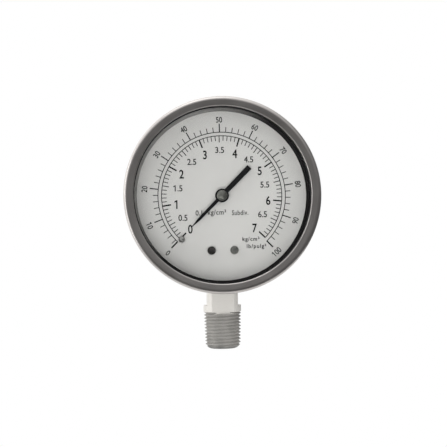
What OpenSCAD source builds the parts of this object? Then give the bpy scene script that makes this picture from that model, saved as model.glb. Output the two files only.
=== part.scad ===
// Bottom-connection dial pressure gauge, 100 mm size, with its measuring system.
// Origin: centre of the stem's end face. +Z is up the stem, the dial faces -Y.
// In the modules of the dial side, "forward" (f) is the distance from the stem axis towards the viewer.

/* [Overall] */
// Distance from the stem axis forward to the front of the bezel ring
front_f = 31; // [29:0.5:36]
// Distance from the stem axis back to the outside of the case back
back_d = 15.5; // [12.5:0.5:22]

/* [Case] */
// Outer diameter of the drawn case
case_od = 100; // [98:0.5:106]
// Sheet thickness of the case
case_t = 1; // [0.6:0.1:1.5]
// Outer radius of the rounded edge round the case back
case_edge_r = 6; // [3:0.5:9]
// Width of the flange at the case mouth, outside the case wall
flange_w = 2.6; // [1.8:0.1:2.8]

/* [Bezel ring] */
// Clearance between the case flange and the inside of the bezel ring
ring_gap = 0.4; // [0.1:0.05:0.6]
// Sheet thickness of the bezel ring
ring_t = 1; // [0.6:0.05:1.2]
// How far the ring's lip reaches in past the inner wall of the case
lip_in = 0.5; // [0.2:0.05:0.7]
// Radius of the bezel ring's rounded front corner
ring_corner_r = 1.8; // [1.2:0.1:2.2]
// How far the ring's face falls back from its corner to its lip
ring_slope = 0.5; // [0.2:0.1:1]
// Depth from the front of the ring to the end of its lip
lip_depth = 3.4; // [2.8:0.1:4.5]
// Radius of the rounded edge of the lip
lip_edge_r = 1; // [0.5:0.1:1.2]
// How far the crimped foot reaches in behind the case flange
crimp_w = 1.6; // [0.8:0.1:1.9]

/* [Window and seal] */
// Thickness of the window glass
glass_t = 3; // [2:0.5:4]
// Thickness of the seal's web outside the edge of the glass
seal_web_t = 1.4; // [1:0.1:1.8]
// Thickness of the seal's front leg
seal_front_t = 1; // [0.6:0.1:1.4]
// Thickness of the seal's rear leg
seal_rear_t = 2; // [1.2:0.1:3]
// How far the seal's front leg shows inside the lip
seal_show = 0.4; // [0.2:0.1:1]

/* [Dial] */
// Thickness of the dial plate
dial_t = 1; // [0.5:0.1:1.5]
// Forward distance of the dial's printed face
dial_f = 18.5; // [18:0.1:19.4]
// Clearance between the edge of the dial and the case wall
dial_gap = 0.6; // [0.4:0.1:0.8]
// How far the spacer ring's foot covers the rim of the dial
spacer_cover = 1.5; // [1.2:0.1:2]
// Clearance between the spacer ring's front edge and the case wall
spacer_gap = 0.25; // [0.1:0.05:0.4]
// Sheet thickness of the conical spacer ring
spacer_t = 0.6; // [0.4:0.1:0.8]
// Radius of the hole in the dial for the pointer spindle
dial_hole_r = 3; // [2:0.1:3.4]

/* [Scale] */
// Thickness of the printed scale
ink_t = 0.06; // [0.04:0.01:0.1]
// Distance of the outer scale's arc from the edge of the dial that shows
scale_margin = 11.6; // [10:0.1:13]
// Distance between the two scales' arcs
arc_gap = 2; // [1.4:0.1:2.6]
// Line width of both arcs
arc_w = 0.34; // [0.2:0.02:0.5]
// Full-scale value of the inner scale
inner_full = 7; // [7:1:7]
// Value of the outer scale for one unit of the inner scale
outer_per_inner = 14.2233; // [14.2:0.0001:14.25]
// Angle from the zero mark to the full-scale mark
sweep_deg = 270; // [260:1:280]
// Angle by which the first interval is shortened at the zero mark
zero_cut_deg = 3.1; // [0:0.1:5]
// Length of the inner scale's unit marks
unit_mark_l = 4.7; // [4:0.1:5.2]
// Length of the inner scale's half-unit marks
half_mark_l = 3.6; // [3:0.1:3.9]
// Length of the inner scale's smallest marks
small_mark_l = 2.7; // [2:0.1:2.9]
// Length of the outer scale's numbered marks
ten_mark_l = 4.7; // [4:0.1:6.4]
// Length of the outer scale's smallest marks
two_mark_l = 2.8; // [2:0.1:3.2]
// Line width of the inner scale's unit marks
unit_mark_w = 0.7; // [0.5:0.02:0.9]
// Line width of the inner scale's half-unit marks
half_mark_w = 0.38; // [0.3:0.02:0.5]
// Line width of the inner scale's smallest marks
small_mark_w = 0.34; // [0.2:0.02:0.4]
// Line width of the outer scale's numbered marks
ten_mark_w = 0.5; // [0.3:0.02:0.6]
// Line width of the outer scale's smallest marks
two_mark_w = 0.34; // [0.2:0.02:0.4]
// Line width of the outer scale's first and last marks
end_mark_w = 0.7; // [0.5:0.02:0.9]

/* [Pointer] */
// Length of the pointer from the spindle to its tip
pointer_l = 23.8; // [18:0.1:30]
// Length of the pointer's tail
pointer_tail_l = 21.9; // [12:0.1:26]
// Width of the pointer's tail at its end
pointer_tail_w = 3.1; // [2.4:0.1:4]
// Width of the pointer's tail at the boss
pointer_tail_root_w = 2.6; // [1.8:0.1:3.2]
// Width of the pointer's blade at the boss
pointer_root_w = 2.1; // [1.4:0.1:3]
// Width of the blade where its point begins
pointer_waist_w = 1.6; // [1.2:0.1:1.9]
// Length of the blade's point
pointer_point_l = 6; // [3:0.5:9]
// Width of the pointer at its tip
pointer_tip_w = 0.4; // [0.1:0.05:0.6]
// Sheet thickness of the pointer
pointer_t = 0.5; // [0.3:0.05:0.8]
// Gap between the dial's face and the pointer
pointer_gap = 1.8; // [1.2:0.1:2]
// Radius of the pointer's round boss
boss_r = 3.8; // [3:0.1:4.2]
// Radius of the bright cap in the boss
cap_r = 2.9; // [2:0.1:3.1]

/* [Stop pin and dial screws] */
// Diameter of the stop pin's ball head
stop_head_d = 3.5; // [2:0.1:4]
// Distance of the stop pin inside the inner scale's arc
stop_pin_in = 0.4; // [0:0.1:2]
// Angle of the stop pin below the zero mark
stop_pin_deg = 1.4; // [0:0.1:4]
// Radius of the stop pin's shank
stop_shank_r = 0.7; // [0.5:0.05:0.9]
// Half the distance between the two dial screws
dial_screw_x = 6.3; // [6:0.1:7.5]
// Distance of the dial screws below the top of the socket block
dial_screw_drop = 3.7; // [3:0.1:5]
// Head radius of the dial screws
dial_head_r = 2.3; // [1.8:0.1:2.6]
// Head height of the dial screws
dial_head_t = 1.2; // [0.8:0.1:1.5]
// Shank radius of the dial screws
dial_shank_r = 1.25; // [1:0.05:1.4]
// Length of the dial screws' shanks behind the dial
dial_screw_l = 4; // [3:0.5:5]

/* [Socket and stem] */
// Length of the stem's threaded part
thread_l = 20.7; // [18:0.1:22]
// Length of the neck between the thread and the case
neck_l = 14.8; // [12:0.1:30]
// Thread pitch, 14 threads to the inch
thread_pitch = 1.814; // [1.8:0.001:1.85]
// Crest diameter at the top of the tapered thread
thread_top_d = 21.1; // [20.8:0.05:21.2]
// Depth of the thread groove
thread_depth = 1.15; // [0.8:0.05:1.4]
// Radius of the chamfered end of the stem
stem_end_r = 7.7; // [7:0.1:8.5]
// Height of the chamfer at the end of the stem
stem_chamfer_l = 2.3; // [1.5:0.1:3]
// Diameter of the round bar above the thread
bar_d = 21.3; // [21.2:0.1:22]
// Distance across the milled flats of the neck
flats_w = 17.2; // [16:0.1:18.5]
// How far the front and back flats are milled down into the thread
flat_sink = 1.2; // [0.8:0.1:1.6]
// Length of the round sides left above the thread, below the side flats
wing_l = 3.8; // [2:0.1:6]
// Radius of the pressure passage through the stem
port_r = 3; // [2:0.1:4]
// Radius of the narrow passage in the block
jet_r = 1.2; // [0.6:0.1:1.8]
// Width of the socket block inside the case
block_w = 22; // [20:0.5:26]
// Forward distance of the block's front face
block_front_f = 7; // [6.5:0.1:7.5]
// Distance from the stem axis back to the block's rear face
block_back_d = 8.5; // [7.8:0.1:10]
// How far the block stands in past the tube's centre line
block_in = 6.5; // [5:0.5:8]
// Radius of the round seal where the stem enters the case
stem_seal_r = 11.6; // [11.2:0.1:13]
// How far the seal stands out below the case
stem_seal_out = 0.6; // [0.4:0.1:1]

/* [Bourdon tube] */
// Radius of the tube's centre line
tube_r = 33; // [31:0.5:36]
// Radial thickness of the flattened tube
tube_thin = 5; // [4:0.1:6]
// Width of the flattened tube along the dial axis
tube_wide = 13.4; // [11:0.1:14]
// Wall thickness of the tube
tube_t = 0.7; // [0.5:0.05:0.9]
// Angle of the tube's fixed end, from the right hand side, counter-clockwise
tube_start_deg = 248; // [246:0.5:250]
// Angle of the tube's end held in the block
tube_hold_deg = 7; // [5:0.5:8]
// Angle of the tube's free end
tube_end_deg = -25; // [-27:0.5:-20]
// Angle taken up by the solid end piece
tip_deg = 12; // [10:0.5:14]
// How far the end piece stands out round the tube
tip_out = 0.9; // [0.5:0.1:1.4]
// Distance of the end piece's pin inside the tube's centre line
tip_pin_in = 2; // [1.5:0.1:2.5]
// Angle of the end piece's pin
tip_pin_deg = -33; // [-34.5:0.1:-31.5]

/* [Movement] */
// Module of the pinion and the sector
gear_m = 0.35; // [0.34:0.002:0.36]
// Teeth on the pinion
pinion_n = 12; // [12:1:12]
// Teeth that a full wheel of the sector's size would have
sector_n = 108; // [108:1:108]
// Direction of the sector pivot from the pinion
sector_dir_deg = -67.5; // [-70:0.5:-65]
// Backlash between the teeth
backlash = 0.05; // [0.03:0.01:0.08]
// Thickness of the sector plate
sector_t = 1.2; // [0.8:0.1:1.6]
// Length of the sector's tail, from its pivot to the middle of the slot
tail_l = 9; // [8:0.1:10]
// Direction of the tail at rest
tail_deg = -58; // [-62:0.5:-54]
// Width of the tail
tail_w = 4; // [3.6:0.1:4.6]
// Half the travel of the link screw in the tail's slot
slot_half_l = 0.8; // [0.6:0.05:1.2]
// Thickness of both movement plates
plate_t = 1.2; // [0.8:0.1:1.5]
// Clear distance between the two plates
plate_gap = 6.7; // [6.4:0.1:7]
// Radius of the plates' rounded corners
plate_corner_r = 3.4; // [3:0.1:3.8]
// Width of the rear plate's foot
foot_w = 6.6; // [6:0.1:7.5]
// Distance of the foot's lower screw above the bottom of the socket block
foot_margin = 5.2; // [4:0.1:7]
// Distance between the foot's two screws
foot_pitch = 8.6; // [7:0.1:10]
// Radius of the pillars between the plates
pillar_r = 1.9; // [1.5:0.1:2.2]
// Radius of the pinion spindle
arbor_r = 1; // [0.8:0.05:1.2]
// Radius of the spindles' end pivots
pivot_r = 0.6; // [0.4:0.05:0.7]
// Radial clearance of every pivot in its hole
pivot_gap = 0.04; // [0.02:0.01:0.08]
// Radial clearance of the link screw in the slot
slot_gap = 0.16; // [0.12:0.01:0.3]
// Radius of the link's two pins
link_pin_r = 0.8; // [0.6:0.05:1]
// Thickness of the link
link_t = 0.9; // [0.6:0.1:1.2]
// Width of the link
link_w = 3.4; // [2.8:0.1:4]
// Head height of the movement's small screws
small_head_t = 0.8; // [0.6:0.1:1]
// Head radius of the movement's small screws
small_head_r = 1.8; // [1.4:0.1:2.2]
// Length of the movement's small screws past the part they clamp
small_screw_l = 3.5; // [2.5:0.1:3.8]

/* [Hairspring] */
// Outer radius of the hairspring
spring_out_r = 6.2; // [5:0.1:6.8]
// Radius of the collet that holds the hairspring's inner end
collet_r = 1.9; // [1.6:0.1:2.4]
// Number of turns of the hairspring
spring_turns = 5; // [3:1:6]
// Strip thickness of the hairspring
spring_t = 0.14; // [0.1:0.01:0.2]
// Strip height of the hairspring
spring_h = 0.8; // [0.5:0.1:1]

/* [Blow-out plug] */
// Height of the plug above the dial centre
plug_up = 24; // [16:0.5:28]
// Radius of the hole in the case back
plug_hole_r = 7; // [5:0.5:9]
// Radius of the plug's flange
plug_flange_r = 9; // [8:0.5:11]
// Thickness of the plug's flange
plug_flange_t = 1.5; // [1:0.1:2]

/* [Hidden] */
// Facets of the large and small round parts
round_fn = 160;
small_fn = 40;
// Overlap that makes a cut run clean through
cut = 1;

// Case and ring, from the front backwards
case_r = case_od / 2;
case_in_r = case_r - case_t;
dial_h = thread_l + neck_l + case_r;
flange_r = case_r + flange_w;
ring_in_r = flange_r + ring_gap;
ring_r = ring_in_r + ring_t;
lip_f = front_f - lip_depth;
glass_front_f = lip_f - seal_front_t;
glass_back_f = glass_front_f - glass_t;
flange_front_f = glass_back_f - seal_rear_t;
flange_back_f = flange_front_f - case_t;
ring_back_f = flange_back_f - ring_t;
crimp_in_r = ring_in_r - crimp_w;
lip_r = case_in_r - lip_in;
glass_r = flange_r - seal_web_t;
dial_back_f = dial_f - dial_t;
dial_r = case_in_r - dial_gap;
dial_show_r = dial_r - spacer_cover;
spacer_top_r = case_in_r - spacer_t - spacer_gap;

// Scale: angles run counter-clockwise from the right hand side
zero_deg = 270 - (360 - sweep_deg) / 2;
full_deg = zero_deg - sweep_deg;
deg_per_unit = (sweep_deg + zero_cut_deg) / inner_full;
outer_arc_r = dial_show_r - scale_margin;
inner_arc_r = outer_arc_r - arc_gap;
outer_full = 100;
outer_step = 2;
inner_step = 0.1;
stop_pin_at = polar(inner_arc_r - stop_pin_in, zero_deg + stop_pin_deg);

// Gearing
pinion_r = gear_m * pinion_n / 2;
sector_r = gear_m * sector_n / 2;
centre_l = pinion_r + sector_r;
sector_x = centre_l * cos(sector_dir_deg);
sector_z = centre_l * sin(sector_dir_deg);
sector_swing = sweep_deg * pinion_n / sector_n;
tooth_deg = 360 / sector_n;
pressure_deg = 20;
root_gap = 0.25;
sector_add = 0.7;
arc_steps = 5;

// Movement planes, as forward distances
back_plate_f = block_front_f;
plates_in_f = back_plate_f + plate_t;
front_plate_f = plates_in_f + plate_gap;
front_plate_out_f = front_plate_f + plate_t;
sector_f = plates_in_f + 2;
pinion_f = sector_f - 0.5;
pinion_l = sector_t + 1;
link_gap = 0.2;
link_f = sector_f + sector_t + link_gap;
spring_f = front_plate_f - 1.6;
pointer_f = dial_f + pointer_gap;
hub_shank_r = 1.8;

// Movement places in the dial's own plane
case_gap = 0.3;
block_top = tube_r - block_in;
block_drop = sqrt(pow(case_in_r, 2) - pow(block_w / 2, 2)) - case_gap;
dial_screw_z = block_top + dial_screw_drop;
pillar_at = [[-8, 6.5], [9.5, 7], [0.5, -25.5]];
sector_corner = [sector_x + 2.6, sector_z - 0.4];
plate_corners = [pillar_at[0], pillar_at[2], sector_corner, pillar_at[1]];
foot_end = block_drop - foot_margin;
movement_screw_at = [[0, foot_pitch - foot_end], [0, -foot_end]];
pillar_screw_turns = [25, 75, 125];
movement_screw_turns = [20, 90];
post_r = 1.9;

// Link places
tip_pin_x = (tube_r - tip_pin_in) * cos(tip_pin_deg);
tip_pin_z = (tube_r - tip_pin_in) * sin(tip_pin_deg);
link_screw_x = sector_x + tail_l * cos(tail_deg);
link_screw_z = sector_z + tail_l * sin(tail_deg);
link_dx = tip_pin_x - link_screw_x;
link_dz = tip_pin_z - link_screw_z;
link_l = norm([link_dx, link_dz]);
link_deg = atan2(link_dz, link_dx);
ear_f = sector_f + sector_t;
tip_pin_hold = 3;

// Socket places
block_bottom_z = dial_h - block_drop;
block_top_z = dial_h - block_top;
front_flat_z = thread_l - flat_sink;
side_flat_z = thread_l + wing_l;
seal_low_z = dial_h - case_r - stem_seal_out;
flats_end_z = seal_low_z - 0.4;
spigot_r = flats_w / 2;
braze_gap = 0.05;
jet_z = dial_h + tube_r * sin(tube_start_deg + tube_hold_deg);
end_play_deg = 0.2;
screw_hole_r = 1;
hole_l = small_screw_l + 0.5;
thread_taper = 1 / 32;
thread_count = floor((thread_l - stem_chamfer_l) / thread_pitch);
crest_w = 0.18;

// Colours
steel = [0.72, 0.71, 0.69];
ring_steel = [0.45, 0.43, 0.42];
brass = [0.78, 0.63, 0.33];
bronze = [0.72, 0.5, 0.3];
white_paint = [0.86, 0.87, 0.87];
black_ink = [0.04, 0.04, 0.045];
black_rubber = [0.05, 0.05, 0.05];
clear_glass = [0.8, 0.88, 0.9, 0.25];
dark_metal = [0.32, 0.32, 0.33];

// Points of an arc, from angle a0 to a1
function arc_points(cx, cy, r, a0, a1, steps = arc_steps) =
    [for (i = [0:steps]) [cx + r * cos(a0 + (a1 - a0) * i / steps), cy + r * sin(a0 + (a1 - a0) * i / steps)]];

// Polar point in the dial's plane
function polar(r, a) = [r * cos(a), r * sin(a)];

// Angle of a value on the inner scale; the zero mark stands at its own place
function value_deg(v) = v == 0 ? zero_deg : full_deg + (inner_full - v) * deg_per_unit;

// Dial side: x stays, y becomes up, z becomes forward
module dial_side() {
    translate([0, 0, dial_h]) rotate([90, 0, 0]) children();
}

// Turned part: a profile of radius and forward distance, about the dial axis
module turned(points) {
    dial_side() rotate_extrude($fn = round_fn) polygon(points);
}

// Round disc or shaft along the dial axis, from f0 to f1
module disc(at, r, f0, f1, fn = small_fn) {
    dial_side() translate([at[0], at[1], f0]) cylinder(r = r, h = f1 - f0, $fn = fn);
}

// Flat part cut from sheet, from f0 to f1
module sheet(f0, f1) {
    dial_side() translate([0, 0, f0]) linear_extrude(f1 - f0) children();
}

// Straight bar of width w between two points of the dial's plane
module bar(a, b, w) {
    d = b - a;
    translate(a) rotate(atan2(d[1], d[0])) translate([0, -w / 2]) square([norm(d), w]);
}

// Drawn cup with a rounded back edge and a flange at its mouth
module case() {
    edge_in_r = case_edge_r - case_t;
    back_f = -back_d;
    outline = concat(
        [[0, back_f]],
        arc_points(case_r - case_edge_r, back_f + case_edge_r, case_edge_r, -90, 0),
        [[case_r, flange_back_f], [flange_r, flange_back_f], [flange_r, flange_front_f],
         [case_in_r, flange_front_f]],
        arc_points(case_r - case_edge_r, back_f + case_edge_r, edge_in_r, 0, -90),
        [[0, back_f + case_t]]
    );
    color(steel) difference() {
        turned(outline);
        translate([0, 0, dial_h - case_r - cut])
            cylinder(r = stem_seal_r, h = case_edge_r + cut, $fn = round_fn);
        disc([0, plug_up], plug_hole_r, back_f - cut, back_f + case_t + cut, round_fn);
    }
}

// Spun ring: face, rounded lip turned in on the seal, and skirt crimped behind the flange
module bezel_ring() {
    foot_r = ring_t + 0.2;
    meet_deg = 84;
    face_f = front_f - ring_slope;
    lip_c_r = lip_r + lip_edge_r;
    inner_corner_r = ring_corner_r - ring_t;
    outline = concat(
        [[crimp_in_r, ring_back_f]],
        arc_points(ring_r - foot_r, ring_back_f + foot_r, foot_r, -90, 0),
        arc_points(ring_r - ring_corner_r, front_f - ring_corner_r, ring_corner_r, 0, meet_deg),
        arc_points(lip_c_r, face_f - lip_edge_r, lip_edge_r, meet_deg, 180),
        [[lip_r, lip_f], [lip_r + ring_t, lip_f], [lip_r + ring_t, face_f - ring_t - 0.2]],
        arc_points(ring_r - ring_corner_r, front_f - ring_corner_r, inner_corner_r, 90, 0),
        [[ring_in_r, flange_back_f], [crimp_in_r, flange_back_f]]
    );
    color(ring_steel) turned(outline);
}

module window() {
    color(clear_glass) disc([0, 0], glass_r, glass_back_f, glass_front_f, round_fn);
}

// Channel seal round the edge of the glass
module window_gasket() {
    show_r = lip_r - seal_show;
    color(black_rubber) turned([
        [case_in_r, flange_front_f], [flange_r, flange_front_f], [flange_r, lip_f], [show_r, lip_f],
        [show_r, glass_front_f], [glass_r, glass_front_f], [glass_r, glass_back_f], [case_in_r, glass_back_f]
    ]);
}

// Conical sheet ring between the glass and the dial
module spacer_ring() {
    foot_r = dial_r - 0.2;
    color(dark_metal) turned([
        [dial_show_r, dial_f], [foot_r, dial_f], [foot_r, dial_f + spacer_t],
        [dial_show_r + 2 * spacer_t, dial_f + spacer_t], [spacer_top_r + spacer_t, glass_back_f],
        [spacer_top_r, glass_back_f]
    ]);
}

module dial() {
    color(white_paint) difference() {
        disc([0, 0], dial_r, dial_back_f, dial_f, round_fn);
        disc([0, 0], dial_hole_r, dial_back_f - cut, dial_f + cut);
        for (side = [-1, 1])
            disc([side * dial_screw_x, -dial_screw_z], dial_shank_r, dial_back_f - cut, dial_f + cut);
        disc(stop_pin_at, stop_shank_r, dial_back_f - cut, dial_f + cut);
    }
}

// One printed mark from radius r0 outward to r1
module mark(a, r0, r1, w) {
    rotate(a) translate([r0, -w / 2]) square([r1 - r0, w]);
}

// Printed arc of radius r from the angle end_deg to the zero mark
module printed_arc(r, end_deg) {
    steps = 90;
    half_w = arc_w / 2;
    polygon(concat(
        arc_points(0, 0, r + half_w, end_deg, zero_deg, steps),
        arc_points(0, 0, r - half_w, zero_deg, end_deg, steps)
    ));
}

// Inner scale: marks point to the centre, heavy at whole units
module inner_scale() {
    count = round(inner_full / inner_step);
    per_unit = round(1 / inner_step);
    color(black_ink) sheet(dial_f, dial_f + ink_t) difference() {
        union() {
            printed_arc(inner_arc_r, full_deg);
            for (i = [0:count]) if (i != 1) {
                unit = i % per_unit == 0;
                half = i % (per_unit / 2) == 0;
                l = unit ? unit_mark_l : half ? half_mark_l : small_mark_l;
                w = unit ? unit_mark_w : half ? half_mark_w : small_mark_w;
                mark(value_deg(i * inner_step), inner_arc_r - l, inner_arc_r, w);
            }
        }
        translate(stop_pin_at) circle(r = stop_shank_r, $fn = small_fn);
    }
}

// Outer scale: marks point outward, long at the numbered tens
module outer_scale() {
    count = outer_full / outer_step;
    color(black_ink) sheet(dial_f, dial_f + ink_t) {
        printed_arc(outer_arc_r, value_deg(outer_full / outer_per_inner));
        for (i = [0:count]) {
            ten = i % 5 == 0;
            l = ten ? ten_mark_l : two_mark_l;
            w = i % count == 0 ? end_mark_w : ten ? ten_mark_w : two_mark_w;
            mark(value_deg(i * outer_step / outer_per_inner), outer_arc_r, outer_arc_r + l, w);
        }
    }
}

// Two cheese-head screws that hold the dial on its posts
module dial_screws() {
    slot_w = 0.7;
    slot_d = 0.6;
    shank_l = dial_t + dial_screw_l;
    color(dark_metal) for (side = [-1, 1]) {
        at = [side * dial_screw_x, -dial_screw_z];
        difference() {
            union() {
                disc(at, dial_head_r, dial_f, dial_f + dial_head_t);
                disc(at, dial_shank_r, dial_f - shank_l, dial_f);
            }
            dial_side() translate([at[0], at[1], dial_f + dial_head_t]) rotate(side * 35)
                cube([3 * dial_head_r, slot_w, 2 * slot_d], center = true);
        }
    }
}

// Two turned posts on the socket block that carry the dial
module dial_posts() {
    bore_l = dial_screw_l + 1.5;
    color(brass) for (side = [-1, 1]) {
        at = [side * dial_screw_x, -dial_screw_z];
        difference() {
            disc(at, post_r, block_front_f, dial_back_f);
            disc(at, dial_shank_r, dial_back_f - bore_l, dial_back_f + cut);
        }
    }
}

// Ball-headed pin in the dial, just below the zero mark
module stop_pin() {
    head_r = stop_head_d / 2;
    neck = 0.4;
    head_f = dial_f + neck + head_r;
    color(dark_metal) {
        disc(stop_pin_at, stop_shank_r, dial_back_f, head_f);
        dial_side() translate([stop_pin_at[0], stop_pin_at[1], head_f]) sphere(r = head_r, $fn = small_fn);
    }
}

// Stem profile: chamfered end and a tapered thread drawn as rings of crest and root
function crest_r(z) = thread_top_d / 2 - (thread_l - z) * thread_taper;
function thread_ring(i) = let (z = stem_chamfer_l + i * thread_pitch) [
    [crest_r(z), z],
    [crest_r(z) - thread_depth, z + thread_pitch / 2 - crest_w / 2],
    [crest_r(z) - thread_depth, z + thread_pitch / 2 + crest_w / 2],
    [crest_r(z + thread_pitch), z + thread_pitch - crest_w]
];

// Threaded stem, neck with four milled flats, round spigot and the block inside the case, in one piece
module socket() {
    bar_r = bar_d / 2;
    rings = [for (i = [0:thread_count - 1]) each thread_ring(i)];
    color(steel) difference() {
        union() {
            difference() {
                rotate_extrude($fn = round_fn) polygon(concat(
                    [[0, 0], [stem_end_r, 0]], rings,
                    [[thread_top_d / 2, thread_l], [bar_r, thread_l], [bar_r, flats_end_z], [0, flats_end_z]]
                ));
                for (side = [0, 180]) rotate(side) {
                    translate([flats_w / 2, -bar_r, side_flat_z]) cube([bar_r, bar_d, neck_l]);
                    translate([-bar_r, flats_w / 2, front_flat_z]) cube([bar_d, bar_r, neck_l + cut]);
                }
            }
            translate([0, 0, flats_end_z])
                cylinder(r = spigot_r, h = block_bottom_z - flats_end_z + cut, $fn = round_fn);
            translate([-block_w / 2, -block_front_f, block_bottom_z])
                cube([block_w, block_front_f + block_back_d, block_top_z - block_bottom_z]);
        }
        translate([0, 0, -cut]) cylinder(r = port_r, h = side_flat_z + cut, $fn = small_fn);
        translate([0, 0, side_flat_z - cut]) cylinder(r = jet_r, h = jet_z - side_flat_z + cut, $fn = small_fn);
        translate([0, 0, jet_z]) rotate([0, -90, 0]) cylinder(r = jet_r, h = block_w, $fn = small_fn);
        dial_side() tube_sweep(
            tube_wide + 2 * braze_gap, tube_thin + 2 * braze_gap,
            tube_start_deg - tube_hold_deg, tube_start_deg + tube_hold_deg + end_play_deg
        );
        for (at = movement_screw_at) disc(at, screw_hole_r, block_front_f - hole_l, block_front_f + cut);
    }
}

// Rubber ring round the spigot, in the hole of the case
module stem_seal() {
    seal_l = block_bottom_z - seal_low_z;
    color(black_rubber) translate([0, 0, seal_low_z]) difference() {
        cylinder(r = stem_seal_r, h = seal_l, $fn = round_fn);
        translate([0, 0, -cut]) cylinder(r = spigot_r, h = seal_l + 2 * cut, $fn = round_fn);
    }
}

// Flattened tube section: two flat sides and two round edges
module tube_section(wide, thin) {
    flat = wide - thin;
    square([thin, flat], center = true);
    for (side = [-1, 1]) translate([0, side * flat / 2]) circle(d = thin, $fn = 32);
}

// Solid tube section swept round the dial axis from angle a0 to a1
module tube_sweep(wide, thin, a0, a1) {
    rotate(a0) rotate_extrude(angle = a1 - a0, $fn = round_fn)
        translate([tube_r, 0]) tube_section(wide, thin);
}

// C-shaped flattened spring tube, from the block round to its closed end
module bourdon_tube() {
    a0 = tube_end_deg;
    a1 = tube_start_deg + tube_hold_deg;
    color(bronze) dial_side() rotate(a0) rotate_extrude(angle = a1 - a0, $fn = round_fn)
        translate([tube_r, 0]) difference() {
            tube_section(tube_wide, tube_thin);
            tube_section(tube_wide - 2 * tube_t, tube_thin - 2 * tube_t);
        }
}

// Solid end piece that closes the tube, with a forward boss for the link's pin
module tube_tip() {
    thin = tube_thin + 2 * tip_out;
    boss_r0 = 2.4;
    at = [tip_pin_x, tip_pin_z];
    wide = 2 * block_front_f;
    color(brass) difference() {
        union() {
            dial_side() rotate(tube_end_deg - tip_deg) rotate_extrude(angle = tip_deg, $fn = round_fn)
                translate([tube_r, 0]) square([thin, wide], center = true);
            disc(at, boss_r0, 0, ear_f);
        }
        disc(at, link_pin_r, ear_f - tip_pin_hold, ear_f + cut);
    }
}

// Shouldered pin in the end piece; the link turns on it
module tip_pin() {
    at = [tip_pin_x, tip_pin_z];
    top_f = link_f + link_t + link_gap / 2;
    color(steel) {
        disc(at, link_pin_r, ear_f - tip_pin_hold, top_f);
        disc(at, small_head_r, top_f, top_f + small_head_t);
    }
}

// Flat link with an eye at each end
module link() {
    a = [link_screw_x, link_screw_z];
    b = [tip_pin_x, tip_pin_z];
    eye_r = link_w / 2 + 0.3;
    color(brass) sheet(link_f, link_f + link_t) difference() {
        union() {
            bar(a, b, link_w * 0.7);
            for (at = [a, b]) translate(at) circle(r = eye_r, $fn = small_fn);
        }
        translate(a) circle(r = link_pin_r, $fn = small_fn);
        translate(b) circle(r = link_pin_r + pivot_gap, $fn = small_fn);
    }
}

// Shouldered screw fixed in the link; its shank runs in the slot of the sector's tail
module link_screw() {
    at = [link_screw_x, link_screw_z];
    low_f = sector_f - 0.3;
    color(steel) {
        disc(at, link_pin_r, low_f, link_f + link_t);
        disc(at, small_head_r, link_f + link_t, link_f + link_t + small_head_t);
    }
}

// Involute tooth: flank points of radius and half-angle
function involute_deg(base_r, r) = let (t = sqrt(pow(r / base_r, 2) - 1)) t * 180 / PI - atan(t);
function half_tooth_deg(n, m, r) = let (
        pitch_r = n * m / 2,
        base_r = pitch_r * cos(pressure_deg),
        at_pitch = 90 / n - backlash / 2 / pitch_r * 180 / PI / 2
    ) at_pitch + involute_deg(base_r, pitch_r) - involute_deg(base_r, max(r, base_r));
function tooth_points(n, m, a, root_r, tip_r) = let (
        base_r = n * m / 2 * cos(pressure_deg),
        start_r = max(base_r, root_r),
        radii = concat([root_r], [for (i = [0:arc_steps]) start_r + (tip_r - start_r) * i / arc_steps]),
        count = len(radii) - 1
    ) concat(
        [for (i = [0:count]) polar(radii[i], a - half_tooth_deg(n, m, radii[i]))],
        [for (i = [count:-1:0]) polar(radii[i], a + half_tooth_deg(n, m, radii[i]))]
    );

// Toothed sector, its two arms and the slotted tail
module sector_gear() {
    root_r = sector_r - (1 + root_gap) * gear_m;
    tip_r = sector_r + sector_add * gear_m;
    mesh_deg = sector_dir_deg + 180;
    teeth = round(sector_swing / tooth_deg) + 2;
    rim_w = 2.2;
    high_deg = mesh_deg + 1.75 * tooth_deg;
    low_deg = mesh_deg - (teeth - 1.25) * tooth_deg;
    hub_r = 2.6;
    arm_w = 2.2;
    slot_r = link_pin_r + slot_gap;
    color(brass) sheet(sector_f, sector_f + sector_t) translate([sector_x, sector_z]) difference() {
        union() {
            polygon(concat(
                arc_points(0, 0, root_r, low_deg, high_deg, 3 * arc_steps),
                arc_points(0, 0, root_r - rim_w, high_deg, low_deg, 3 * arc_steps)
            ));
            for (k = [-1:teeth - 2])
                polygon(concat(
                    tooth_points(sector_n, gear_m, mesh_deg - k * tooth_deg, root_r, tip_r),
                    [polar(root_r - rim_w / 2, mesh_deg - k * tooth_deg)]
                ));
            for (a = [high_deg - 3.5, low_deg + 3.5]) bar([0, 0], polar(root_r - rim_w / 2, a), arm_w);
            circle(r = hub_r, $fn = small_fn);
            bar([0, 0], polar(tail_l, tail_deg), tail_w);
            bar(polar(tail_l, tail_deg), polar(tail_l + slot_half_l, tail_deg), tail_w);
            translate(polar(tail_l + slot_half_l, tail_deg)) circle(d = tail_w, $fn = small_fn);
        }
        circle(r = arbor_r, $fn = small_fn);
        bar(polar(tail_l - slot_half_l, tail_deg), polar(tail_l + slot_half_l, tail_deg), 2 * slot_r);
        for (s = [-1, 1]) translate(polar(tail_l + s * slot_half_l, tail_deg)) circle(r = slot_r, $fn = small_fn);
    }
}

// Spindle of the sector, with a pivot at each end
module sector_arbor() {
    at = [sector_x, sector_z];
    end_gap = 0.1;
    color(steel) {
        disc(at, pivot_r, back_plate_f + end_gap, front_plate_out_f - end_gap);
        disc(at, arbor_r, plates_in_f + end_gap, front_plate_f - end_gap);
    }
}

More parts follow.
